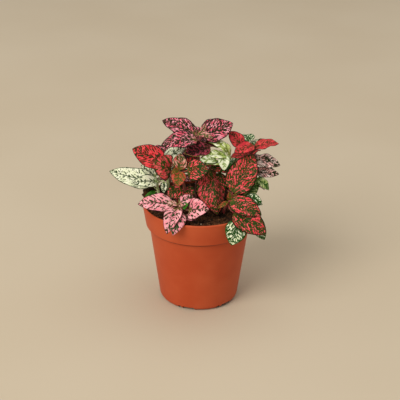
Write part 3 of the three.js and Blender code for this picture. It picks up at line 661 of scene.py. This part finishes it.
def leaf_frame(leaf):
    """The curve of a blade's midrib, the way to its side, and its length."""
    base = np.array(leaf.base, float)
    tip = np.array(leaf.tip, float)
    length = np.linalg.norm(tip - base)
    chord = (tip - base) / length
    normal = np.array(leaf.face, float)
    normal = unit(normal - normal.dot(chord) * chord)
    middle = (base + tip) / 2 + normal * 2 * leaf.arch * length
    return (base, middle, tip), np.cross(chord, normal), length


def outline(t):
    """Half the blade's width at a share t of its length, as a share of the widest."""
    widest = BASE_FULLNESS / (BASE_FULLNESS + TIP_FULLNESS)
    peak = widest**BASE_FULLNESS * (1 - widest) ** TIP_FULLNESS
    return t**BASE_FULLNESS * (1 - t) ** TIP_FULLNESS / peak


def blade_rise(t, s, half, width, fold, phase):
    """How far a blade's fold and the coarse and fine waves of its edges lift each point."""
    turn = 2 * math.pi * (EDGE_WAVES * t + phase + np.where(s > 0, HALF_LEAD, 0))
    wave = EDGE_WAVE * half * 2 * s**2 * np.sin(turn)
    fine = FINE_WAVE * (half * 2 / width) * s**4 * np.sin(turn * FINE_WAVES / EDGE_WAVES + 2 * s)
    return np.abs(s) * half * math.sin(fold) + wave + fine


def blade_faces(rows):
    """Both sides of a blade, which share the points of its edges, and its closed tip and base."""
    above = np.arange(rows * COLUMNS).reshape(rows, COLUMNS)
    below = above.copy()
    below[:, 1:-1] = rows * COLUMNS + np.arange(rows * (COLUMNS - 2)).reshape(rows, COLUMNS - 2)
    end = rows * (2 * COLUMNS - 2)
    faces = []
    for i in range(rows - 1):
        for j in range(COLUMNS - 1):
            faces.append([above[i, j], above[i, j + 1], above[i + 1, j + 1], above[i + 1, j]])
            faces.append([below[i, j], below[i + 1, j], below[i + 1, j + 1], below[i, j + 1]])
    for j in range(COLUMNS - 1):
        faces.append([above[-1, j], above[-1, j + 1], end])
        faces.append([below[-1, j + 1], below[-1, j], end])
        rim = [above[0, j], below[0, j], below[0, j + 1], above[0, j + 1]]
        faces.append(list(dict.fromkeys(rim)))
    return faces


def add_leaf(shell, stem, leaf, seed, slot, stem_slot, hair_slot):
    """A blade with waved edges, a grooved midrib and quilted veins, closed round its rim, and its stalk."""
    curve, side, length = leaf_frame(leaf)
    width = leaf.width
    fold = math.radians(leaf.fold)
    phase = chance(seed)
    rows = int(min(max(length / ROW_LENGTH, FEWEST_ROWS), MOST_ROWS))
    places = (1 - np.cos(np.linspace(FIRST_ROW, LAST_ROW, rows) * math.pi)) / 2
    t = places[:, None]
    u = np.linspace(-1, 1, COLUMNS)
    s = (np.sign(u) * np.abs(u) ** COLUMN_CROWDING)[None, :]
    half = np.maximum(width / 2 * outline(t), NARROWEST)
    x = s * half
    y = t * length + 0 * s
    away = np.abs(x)

    vein = (y - VEIN_SLANT * away - VEIN_CURVE * away**2) / max(length / VEIN_PAIRS, CLOSEST_VEINS)
    quilt = QUILT * min(1, length / QUILT_LENGTH) * (0.5 - 0.5 * np.cos(2 * math.pi * vein))
    quilt = quilt * (1 - np.abs(s) ** 3) * np.minimum(away / QUILT_MARGIN, 1)
    rib = np.exp(-((x / RIB_WIDTH) ** 2)) * np.minimum(width / RIB_BLADE_WIDTH, 1) * (1 - t)
    thick = BLADE_THICKNESS / 2 * np.sqrt(1 - np.abs(s) ** EDGE_ROUNDING)
    rise = blade_rise(t, s, half, width, fold, phase)
    normal = np.cross(side, bezier_slope(curve, places))[:, None]
    middle = bezier(curve, places)[:, None] + side * x[..., None] * math.cos(fold)
    upper = middle + normal * (rise + quilt - RIB_GROOVE * rib + thick)[..., None]
    lower = middle + normal * (rise + QUILT_BELOW * quilt - RIB_RIDGE * rib - thick)[..., None]
    points = np.concatenate([upper.reshape(-1, 3), lower[:, 1:-1].reshape(-1, 3), [curve[2]]])

    def marks(columns, face):
        values = [x, y, np.full_like(x, phase), half - away, y / length, np.full_like(x, face), vein]
        return np.stack([value[:, columns] for value in values], axis=-1).reshape(-1, 7)

    tip = [[0, length, phase, 0, 1, 1, 0]]
    every = np.concatenate([marks(slice(None), 1.0), marks(slice(1, -1), 0.0), tip])
    shell.add(points, blade_faces(rows), slot, every)
    add_stalk(shell, stem, leaf, curve, places[0], seed * HAIR_SEEDS, stem_slot, hair_slot, side)


def colour(code):
    """The linear colour of a 0xRRGGBB screen colour."""
    channels = [((code >> shift) & 255) / 255 for shift in (16, 8, 0)]
    return [c / 12.92 if c <= 0.04045 else ((c + 0.055) / 1.055) ** 2.4 for c in channels] + [1]


class Graph:
    """The nodes of one material, built from its inputs to its Principled shader."""

    def __init__(self, name):
        self.material = bpy.data.materials.new(name)
        self.material.use_nodes = True
        self.tree = self.material.node_tree
        self.shader = self.tree.nodes["Principled BSDF"]

    def node(self, kind, inputs=(), **settings):
        node = self.tree.nodes.new("ShaderNode" + kind)
        for key, value in settings.items():
            setattr(node, key, value)
        for key, value in dict(inputs).items():
            self.put(value, node.inputs[key])
        return node

    def put(self, value, socket):
        if isinstance(value, bpy.types.NodeSocket):
            self.tree.links.new(value, socket)
        else:
            socket.default_value = value

    def maths(self, operation, a, b=0):
        return self.node("Math", {0: a, 1: b}, operation=operation).outputs[0]

    def plus(self, a, b):
        return self.maths("ADD", a, b)

    def minus(self, a, b):
        return self.maths("SUBTRACT", a, b)

    def times(self, a, b):
        return self.maths("MULTIPLY", a, b)

    def step(self, value, low, high, to_low=0, to_high=1):
        """Goes smoothly from to_low to to_high as the value goes from low to high."""
        inputs = {"Value": value, "From Min": low, "From Max": high, "To Min": to_low, "To Max": to_high}
        return self.node("MapRange", inputs, interpolation_type="SMOOTHSTEP").outputs["Result"]

    def fade(self, value, low, high, most=1):
        """Goes smoothly from most to 0 as the value goes from low to high."""
        return self.step(value, low, high, most, 0)

    def mix(self, share, a, b):
        """The colour at that share of the way from a to b, each a socket or a 0xRRGGBB code."""
        node = self.node("Mix", data_type="RGBA")
        self.put(share, node.inputs[0])
        for value, socket in ((a, node.inputs[6]), (b, node.inputs[7])):
            self.put(colour(value) if isinstance(value, int) else value, socket)
        return node.outputs[2]

    def vector(self, x, y, z):
        return self.node("CombineXYZ", {0: x, 1: y, 2: z}).outputs[0]

    def stretched(self, place, *scales):
        return self.node("VectorMath", {0: place, 1: scales}, operation="MULTIPLY").outputs[0]

    def grain(self, place, scale=1, detail=1, roughness=0.5):
        inputs = {"Vector": place, "Scale": scale, "Detail": detail, "Roughness": roughness}
        return self.node("TexNoise", inputs).outputs["Fac"]

    def attribute(self, name):
        return self.node("Attribute", attribute_name=name)

    def split(self, vector):
        return self.node("SeparateXYZ", {0: vector}).outputs

    def object_place(self):
        return self.node("TexCoord").outputs["Object"]

    def bump(self, height, strength, distance):
        node = self.node("Bump", {"Height": height, "Strength": strength, "Distance": distance * MM})
        self.put(node.outputs["Normal"], self.shader.inputs["Normal"])

    def finish(self, skin, **settings):
        """The material, with its colour and the shader's other sockets set by their names."""
        self.put(skin, self.shader.inputs["Base Color"])
        for key, value in settings.items():
            self.put(value, self.shader.inputs[key.replace("_", " ")])
        return self.material


def reach(cover):
    """How near to a scattered point a place lies, at the most, if such places are that share of all."""
    return (-math.log(1 - cover) * 3 / (4 * math.pi)) ** (1 / 3)


def flecks(g, place, limit, ragged):
    """1 inside ragged flecks round scattered points, up to a limit from each, and 0 between them."""
    near = g.node("TexVoronoi", {"Vector": place, "Scale": 1}).outputs["Distance"]
    torn = g.times(g.minus(g.grain(place, scale=2.1, detail=2, roughness=0.6), 0.5), ragged)
    return g.fade(g.minus(g.plus(near, torn), limit), -FLECK_EDGE, FLECK_EDGE)


def spots(g, away, place, cover):
    """1 on the bright spots: flecks on a dark leaf, and all but the flecks on a mostly bright one."""
    if cover > MOSTLY_BRIGHT:
        dark = reach(1 - cover)
        limit = g.step(away, CROWDED_FROM, CROWDED_TO, dark + RIB_CROWDING, dark)
        return g.minus(1, flecks(g, place, limit, FLECK_TEAR))
    limit = g.step(away, CROWDED_FROM, CROWDED_TO, reach(cover) - RIB_CROWDING, reach(cover))
    small = flecks(g, g.stretched(place, *[SMALL_FLECK_SCALE] * 3), SMALL_FLECK_REACH, SMALL_FLECK_TEAR)
    return g.maths("MAXIMUM", flecks(g, place, limit, FLECK_TEAR), small)


def leaf_material(name, look):
    """Spots on a ground that shows along veins and midrib, an edge, a young base and a duller underside."""
    spot, bright, ground, heart, edge_colour, under = COLOURS[look][:6]
    cover, long, wide, edge_width, rib_width, veins = MARKINGS[look]
    g = Graph(name)
    x, y, number = g.split(g.attribute("leaf_place").outputs["Vector"])
    rim, share, upper = g.split(g.attribute("leaf_share").outputs["Vector"])
    vein = g.attribute("leaf_vein").outputs["Fac"]
    away = g.maths("ABSOLUTE", x)
    own = g.plus(g.times(number, LEAF_SHIFT), g.times(g.maths("SIGN", x), HALF_SHIFT))
    place = g.vector(x, y, own)

    warp = g.times(g.minus(g.grain(place, WARP_SCALE), 0.5), WARP)
    curved = g.times(g.times(away, away), VEIN_CURVE)
    along = g.minus(g.minus(y, g.times(away, VEIN_SLANT)), curved)
    across_spots = g.maths("DIVIDE", g.plus(away, warp), long)
    along_spots = g.maths("DIVIDE", g.plus(along, warp), wide)
    spot_place = g.vector(across_spots, along_spots, own)

    off_vein = g.maths("ABSOLUTE", g.minus(g.maths("FRACT", g.plus(vein, 0.5)), 0.5))
    vein_line = g.fade(g.plus(off_vein, g.times(warp, VEIN_WARP)), *VEIN_FADE, veins)
    vein_line = g.times(vein_line, g.step(g.grain(spot_place, 0.6), 0.42, 0.6))
    rib_half = g.plus(g.times(g.minus(RIB_START, share), rib_width), g.times(warp, RIB_WARP))
    rib = g.fade(g.minus(away, rib_half), *RIB_FADE)
    off_edge = g.plus(rim, g.times(warp, EDGE_WARP))
    edge = g.fade(off_edge, *[edge_width * part for part in EDGE_FADE])

    tone = g.grain(place, scale=0.22, detail=2)
    lit = g.mix(g.step(tone, 0.38, 0.62), spot, bright)
    between = g.mix(g.step(tone, 0.3, 0.7), ground, heart)
    between = g.mix(g.step(tone, 0.3, 0.75, 0.8, 1), between, ground)
    marked = g.mix(g.times(spots(g, away, spot_place, cover), g.minus(1, vein_line)), between, lit)
    marked = g.mix(g.times(rib, RIB_COVER), marked, ground)
    along_base = g.fade(share, *YOUNG_LENGTH, YOUNG_COVER)
    young = g.times(along_base, g.step(away, *YOUNG_WIDTH, 1, YOUNG_SIDES))
    marked = g.mix(young, marked, heart)
    marked = g.mix(edge, marked, edge_colour)
    skin = g.mix(upper, g.mix(MARKED_BELOW, under, marked), marked)

    cells = g.grain(place, scale=2.6, detail=2, roughness=0.6)
    height = g.minus(cells, g.times(g.fade(off_vein, *HOLLOW_FADE), VEIN_HOLLOW))
    shine = g.step(cells, 0.3, 0.7, 0.44, 0.6)
    g.bump(height, strength=0.5, distance=0.25)
    return g.finish(skin, Roughness=shine, Specular_IOR_Level=0.1)


def stem_material(name, look):
    """Downy stems, flushed in streaks with their leaves' own colour."""
    own, *_, stem = COLOURS[look]
    g = Graph(name)
    place = g.object_place()
    streaks = g.grain(g.stretched(place, 1, 1, 0.25), scale=900, detail=2)
    skin = g.mix(g.step(streaks, 0.42, 0.62), stem, g.mix(0.45, stem, own))
    down = g.grain(place, scale=2400, detail=2, roughness=0.7)
    g.bump(down, strength=0.6, distance=0.3)
    return g.finish(skin, Roughness=0.6, Specular_IOR_Level=0.3, Sheen_Weight=0.15)


def hair_material():
    g = Graph("plant_hair")
    grain = g.grain(g.object_place(), scale=3000)
    skin = g.mix(g.step(grain, 0.4, 0.6), HAIR_DULL, HAIR_PALE)
    g.bump(grain, strength=0.1, distance=0.05)
    return g.finish(skin, Roughness=0.5, Specular_IOR_Level=0.3)


def pot_material():
    """Satin moulded plastic, cloudy in colour, with dull scuffs, a painted shade line under the band and
    painted shade in the drainage slots.
    """
    g = Graph("moulded_plastic")
    place = g.object_place()
    clouds = g.grain(place, scale=22, detail=3, roughness=0.55)
    skin = g.mix(g.step(clouds, 0.35, 0.68), POT_RED, POT_ORANGE)
    scuffs = g.grain(g.stretched(place, 1, 1, 9), scale=70, detail=4, roughness=0.65)
    scuffs = g.step(scuffs, 0.62, 0.76)
    skin = g.mix(g.times(scuffs, 0.25), skin, POT_SCUFF)

    level = g.split(place)["Z"]
    # Painted shade: a dark line just under the band's lower edge, where the band's overhang shades the
    # wall.
    seam = BAND_LOW_HEIGHT * MM
    below = g.step(level, *[seam - distance * MM for distance in SEAM_SHADE_BELOW])
    above = g.fade(level, *[seam + distance * MM for distance in SEAM_SHADE_ABOVE])
    seam_shade = g.times(g.times(below, above), g.step(clouds, 0.2, 0.6, 0.6, 0.9))
    skin = g.mix(seam_shade, skin, POT_SEAM_SHADE)
    # Painted shade: darker inside the foot, below the top of the drainage slots.
    flat = g.stretched(place, 1, 1, 0)
    from_axis = g.node("VectorMath", {0: flat}, operation="LENGTH").outputs["Value"]
    inside = g.fade(from_axis, *[(FOOT_RADIUS - inward) * MM for inward in SHADE_INWARD])
    low = g.fade(level, SLOT_HEIGHT * MM, (SLOT_HEIGHT + SHADE_FADE) * MM, SHADE)
    skin = g.mix(g.times(inside, low), skin, POT_SHADE)

    peel = g.grain(place, scale=1300, detail=2, roughness=0.6)
    height = g.plus(peel, g.times(scuffs, 0.4))
    shine = g.plus(g.step(clouds, 0.3, 0.7, 0.5, 0.58), g.times(scuffs, 0.1))
    g.bump(height, strength=0.14, distance=0.1)
    return g.finish(skin, Roughness=shine, Specular_IOR_Level=0.22)


def soil_material():
    g = Graph("peat")
    place = g.object_place()
    patches = g.grain(place, scale=160, detail=4, roughness=0.65)
    fibres = g.grain(place, scale=700, detail=4, roughness=0.75)
    skin = g.mix(g.step(patches, 0.38, 0.64), PEAT_DARK, PEAT_BROWN)
    skin = g.mix(g.step(fibres, 0.56, 0.66, 0, 0.9), skin, PEAT_FIBRE)
    height = g.plus(g.times(patches, 1.5), fibres)
    g.bump(height, strength=0.9, distance=0.8)
    return g.finish(skin, Roughness=0.92, Specular_IOR_Level=0.2)


def perlite_material():
    g = Graph("perlite")
    pores = g.grain(g.object_place(), scale=1400, detail=3, roughness=0.6)
    skin = g.mix(g.step(pores, 0.35, 0.6), PERLITE_DULL, PERLITE_PALE)
    g.bump(pores, strength=0.8, distance=0.3)
    return g.finish(skin, Roughness=0.85, Specular_IOR_Level=0.3)


def floor_material():
    g = Graph("pale_floor")
    place = g.object_place()
    haze = g.grain(place, scale=3, detail=2)
    skin = g.mix(g.step(haze, 0.3, 0.7), FLOOR_DULL, FLOOR_PALE)
    grain = g.grain(place, scale=400, detail=2)
    g.bump(grain, strength=0.05, distance=0.1)
    return g.finish(skin, Roughness=0.7, Specular_IOR_Level=0.25)


def rounded(points):
    """The outline with each corner off the axis cut to a short curve."""
    result = []
    for i, corner in enumerate(points):
        if corner[0] == 0:
            result.append(corner)
            continue
        corner = np.array(corner, float)
        ends = []
        for other in (points[i - 1], points[(i + 1) % len(points)]):
            gap = np.array(other, float) - corner
            ends.append(corner + gap * min(CORNER_CUT / np.linalg.norm(gap), CORNER_SHARE))
        curve = (ends[0], corner, ends[1])
        result.extend(tuple(point) for point in bezier(curve, np.linspace(0, 1, CORNER_STEPS)))
    return result


def slot_boxes():
    """A box for each drainage slot, as one object."""
    boxes = bmesh.new()
    for i in range(SLOT_COUNT):
        for turn, width in ((0, SLOT_WIDTH), (SLOT_OFFSET, SLOT_NARROW)):
            angle = math.radians(SLOT_START + 360 / SLOT_COUNT * i + turn)
            box = bmesh.ops.create_cube(boxes, size=MM)["verts"]
            bmesh.ops.scale(boxes, vec=(SLOT_LENGTH, width, SLOT_HEIGHT + SLOT_BELOW), verts=box)
            shift = Vector((FOOT_RADIUS - SLOT_INSET, 0, (SLOT_HEIGHT - SLOT_BELOW) / 2)) * MM
            bmesh.ops.translate(boxes, vec=shift, verts=box)
            bmesh.ops.rotate(boxes, matrix=Euler((0, 0, angle)).to_matrix(), verts=box)
    mesh = bpy.data.meshes.new("slot_cutters")
    boxes.to_mesh(mesh)
    boxes.free()
    return link(bpy.data.objects.new("slot_cutters", mesh))


def make_pot():
    """A turned profile with rounded moulded edges, and drainage slots cut round its foot."""
    wall_slope = (NECK_RADIUS - FOOT_RADIUS) / BAND_LOW_HEIGHT
    inside = FOOT_RADIUS - WALL
    profile = [
        (0, 0),
        (GROOVE_INNER, 0),
        (GROOVE_INNER + GROOVE_DEPTH, GROOVE_DEPTH),
        (GROOVE_OUTER - GROOVE_DEPTH, GROOVE_DEPTH),
        (GROOVE_OUTER, 0),
        (FOOT_RADIUS - FOOT_ROUNDING, 0),
        (FOOT_RADIUS - FOOT_ROUNDING * FOOT_BEND[0], FOOT_ROUNDING * FOOT_BEND[1]),
        (FOOT_RADIUS + wall_slope * FOOT_ROUNDING, FOOT_ROUNDING),
        (NECK_RADIUS, BAND_LOW_HEIGHT - NECK_DROP),
        *[(BAND_LOW_RADIUS - inward, BAND_LOW_HEIGHT + up) for inward, up in BAND_CORNERS],
        *[(RIM_RADIUS - inward, POT_HEIGHT - down) for inward, down in RIM_CORNERS],
        (BAND_LOW_RADIUS - WALL, BAND_LOW_HEIGHT + LEDGE_RISE),
        (NECK_RADIUS - WALL, BAND_LOW_HEIGHT - LEDGE_DROP),
        (inside, POT_FLOOR + INNER_CORNER[1]),
        (inside - INNER_CORNER[0], POT_FLOOR),
        (0, POT_FLOOR),
    ]
    line = rounded(profile)[1:-1]
    shell = Shell()
    points = ring_points(line, POT_SIDES) + [(0, 0, 0), (0, 0, POT_FLOOR)]
    shell.add(points, closed_faces(len(line), POT_SIDES))
    pot = shell.object("pot_shell", [pot_material()])
    cutter = slot_boxes()
    cut = pot.modifiers.new("slots", "BOOLEAN")
    cut.object = cutter
    cut.solver = "EXACT"
    view = bpy.context.evaluated_depsgraph_get()
    mesh = bpy.data.meshes.new_from_object(pot.evaluated_get(view))
    pot.modifiers.clear()
    pot.data = mesh
    bpy.data.objects.remove(cutter)
    return pot


def soil_height(q, angle):
    """The height of the mound at a share q of its radius, before its lumps."""
    bumps = sum(math.sin(turns * angle + rings * q + start) for turns, rings, start in SOIL_WAVES)
    return SOIL_EDGE + SOIL_MOUND * (1 - q * q) + SOIL_ROUGHNESS / len(SOIL_WAVES) * bumps


def lumps(x, y):
    """Rough peat: large crumbs, small crumbs and grit."""
    return LUMP_HEIGHT * sum(weight * noise.noise(Vector((x, y, 0)) / size) for size, weight in LUMPS)


def add_blob(shell, centre, radii, seed, subdivisions, roughness, slot=0):
    """A rough closed lump."""
    ball = bmesh.new()
    bmesh.ops.create_icosphere(ball, subdivisions=subdivisions, radius=1)
    points = []
    for vertex in ball.verts:
        way = vertex.co
        bump = 1
        for scale, share, shift in ROUGH_NOISE:
            bump += roughness * share * noise.noise(way * scale + Vector([seed * part for part in shift]))
        points.append([c + w * r * bump for c, w, r in zip(centre, way, radii)])
    faces = [[v.index for v in face.verts] for face in ball.faces]
    ball.free()
    shell.add(points, faces, slot)


def add_crumb(shell, i, edge):
    """A loose crumb of peat on the soil, or a bit of perlite once the crumbs are done."""
    white = i >= CRUMBS
    out, turn, bulk = (chance(CRUMB_SEED + i * 3 + k) for k in range(3))
    q = math.sqrt(out) * CRUMB_REACH
    a = 2 * math.pi * turn
    size = (CRUMB_SMALLEST + CRUMB_SPREAD * bulk**2) * (PERLITE_SIZE if white else 1)
    radii = [size * (CRUMB_FLATTEST + CRUMB_UNEVENNESS * chance(i * 5 + k)) for k in range(3)]
    height = soil_height(q, a) + size * CRUMB_LIFT
    centre = ((edge - size) * q * math.cos(a), (edge - size) * q * math.sin(a), height)
    add_blob(shell, centre, radii, i, 1 if size < PLAIN_CRUMB else 2, CRUMB_ROUGHNESS, int(white))


def make_soil():
    """Peat that fills the pot to a mounded, lumpy top, with a clump proud of the rim and loose crumbs."""
    bottom = POT_FLOOR + GAP
    band = BAND_LOW_RADIUS - WALL - GAP
    inward, down = RIM_CORNERS[-1]
    ledge = BAND_LOW_HEIGHT + LEDGE_RISE
    band_slope = (RIM_RADIUS - inward - BAND_LOW_RADIUS + WALL) / (POT_HEIGHT - down - ledge)
    edge = band + band_slope * (SOIL_EDGE - SOIL_ROUGHNESS - ledge)
    side = [(FOOT_RADIUS - WALL - GAP - inward, bottom + up) for inward, up in SOIL_FOOT]
    side.append((NECK_RADIUS - WALL - GAP, BAND_LOW_HEIGHT - LEDGE_DROP))
    side.append((band, ledge + GAP))
    points = ring_points(side, SOIL_SIDES)
    for q in np.linspace(1, INNER_RING, SOIL_RINGS):
        for a in np.linspace(0, 2 * math.pi, SOIL_SIDES, endpoint=False):
            x = edge * q * math.cos(a)
            y = edge * q * math.sin(a)
            share = min((1 - q) / LUMP_MARGIN, 1)
            points.append((x, y, soil_height(q, a) + share * lumps(x, y)))
    points += [(0, 0, bottom), (0, 0, soil_height(0, 0))]
    shell = Shell()
    shell.add(points, closed_faces(len(side) + SOIL_RINGS, SOIL_SIDES))
    radii = [r * CLUMP_SHRINKAGE for r in CLUMP_RADII]
    add_blob(shell, CLUMP_CENTRE, radii, seed=3, subdivisions=5, roughness=CLUMP_ROUGHNESS)
    for i in range(CRUMBS + PERLITE):
        add_crumb(shell, i, edge)
    return shell.object("peat_fill", [soil_material(), perlite_material()])


def make_stem(name, stem, seed, materials):
    """A leafy stem, with a slot for stem and stalks, one for hairs, and one for each look of its leaves."""
    others = OTHER_LOOKS.get(name, {})
    looks = [others.get(i, stem.look) for i in range(len(stem.leaves))]
    order = list(dict.fromkeys([stem.look, *looks]))
    shell = Shell()
    add_stem(shell, stem, seed * HAIR_SEEDS, 0, 1)
    for i, leaf in enumerate(stem.leaves):
        add_leaf(shell, stem, Leaf(*leaf), seed + i + 1, 2 + order.index(looks[i]), 0, 1)
    own = [materials["stem", stem.look], materials["hair"]] + [materials["leaf", look] for look in order]
    return shell.object("shoot_" + name, own)


def attach(piece, node):
    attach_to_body(piece, "root")
    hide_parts(node)


def make_floor():
    ways = ((-1, -1), (1, -1), (1, 1), (-1, 1))
    floor_shell = Shell()
    floor_shell.add([(x * FLOOR_HALF, y * FLOOR_HALF, -FLOOR_DROP) for x, y in ways], [[0, 1, 2, 3]])
    floor_shell.object("floor", [floor_material()])


def area_light(name, spot, target, size, power, tint):
    light = bpy.data.lights.new(name, "AREA")
    light.shape = "DISK"
    light.size = size
    light.energy = power
    light.color = tint
    lamp = link(bpy.data.objects.new(name, light))
    lamp.location = spot
    lamp.rotation_euler = (Vector(target) - Vector(spot)).to_track_quat("-Z", "Y").to_euler()


def light_room():
    for label, settings in LIGHTS.items():
        area_light(label, *settings)
    world = bpy.data.worlds.new("pale_room")
    world.use_nodes = True
    background = world.node_tree.nodes["Background"]
    background.inputs["Color"].default_value = ROOM_TINT
    background.inputs["Strength"].default_value = ROOM_STRENGTH
    bpy.context.scene.world = world
    bpy.context.scene.view_settings.view_transform = "Standard"


def make_camera():
    lens = bpy.data.cameras.new("camera")
    lens.lens = CAMERA_LENS
    lens.sensor_width = CAMERA_SENSOR
    lens.clip_end = CAMERA_RANGE
    camera = link(bpy.data.objects.new("camera", lens))
    camera.location = Vector(CAMERA_PLACE) * MM
    facing = Euler((math.radians(90 - CAMERA_PITCH), 0, math.radians(-CAMERA_YAW))).to_matrix()
    facing @= Euler((0, 0, math.radians(CAMERA_ROLL))).to_matrix()
    camera.rotation_euler = facing.to_euler()
    bpy.context.scene.camera = camera


attach(make_pot(), "pot")
attach(make_soil(), "soil")
materials = {"hair": hair_material()}
for look in COLOURS:
    materials["leaf", look] = leaf_material("leaf_" + look, look)
for look in dict.fromkeys(stem.look for stem in STEMS.values()):
    materials["stem", look] = stem_material("stalk_" + look, look)
for number, (label, stem) in enumerate(STEMS.items()):
    attach(make_stem(label, stem, number * STEM_SEEDS, materials), "stem_" + label)
make_floor()
light_room()
make_camera()
